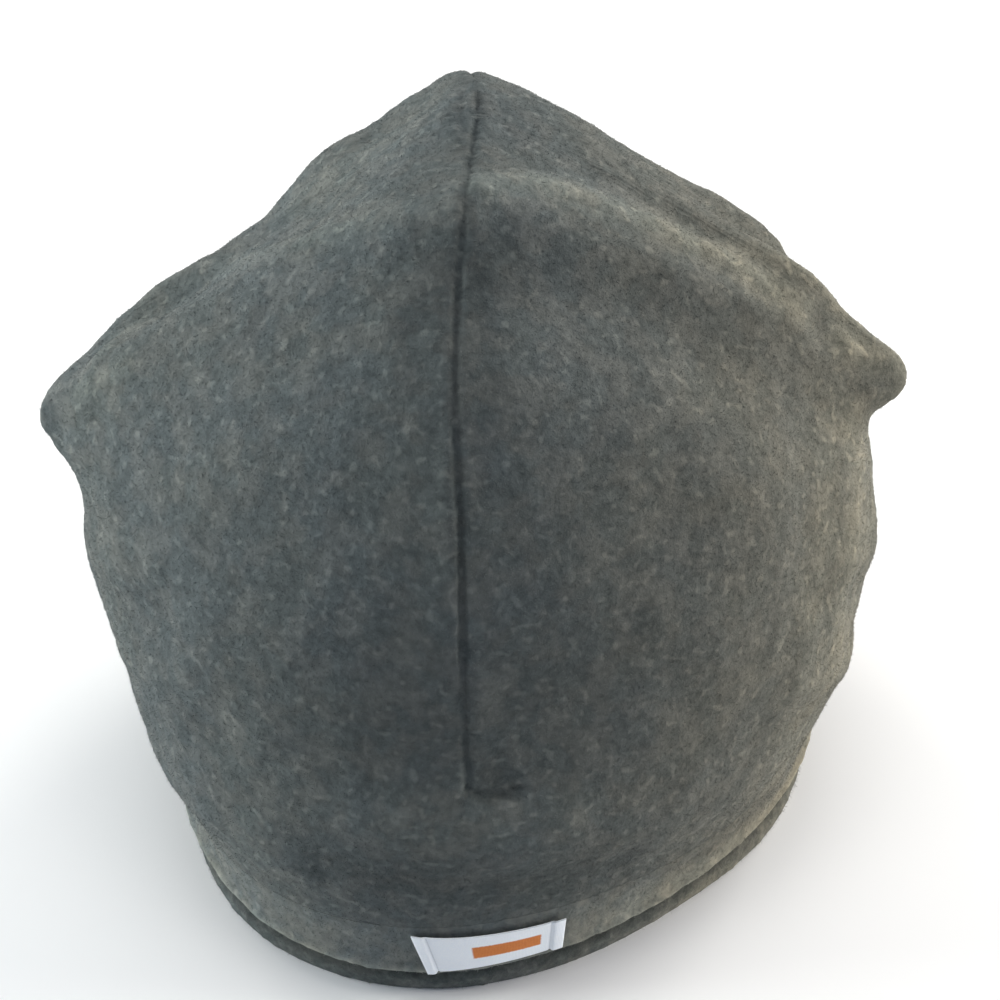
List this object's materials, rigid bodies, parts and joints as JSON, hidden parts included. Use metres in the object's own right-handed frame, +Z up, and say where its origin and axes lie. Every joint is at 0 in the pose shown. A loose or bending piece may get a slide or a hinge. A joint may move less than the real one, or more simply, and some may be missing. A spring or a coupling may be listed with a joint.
{
  "type": "fleece beanie",
  "caption": "Soft fleece beanie with a centre seam over its crown, a hem band and a small label, standing open side down on its rim.",
  "frame": {"origin": "on the floor, under the middle of the hat's bounding box", "axes": "+Z up from the rim to the crown, -Y towards the front where the label is, +X to the right as seen from the front"},
  "size_m": [0.235, 0.1922, 0.2077],
  "materials": {
    "crown_fleece": "brushed heather fleece, charcoal grey, matt, with a short pilled nap",
    "band_fleece": "brushed heather fleece folded into a band, matt",
    "lining_fleece": "darker fuzzy lining fleece, matt",
    "label_weave": "white woven ribbon with a plain orange bar, folded and stitched at both ends"
  },
  "bodies": {
    "root": {"crown": "crown_fleece", "hem_band": "band_fleece", "lining_edge": "lining_fleece", "label": "label_weave"}
  },
  "joints": []
}
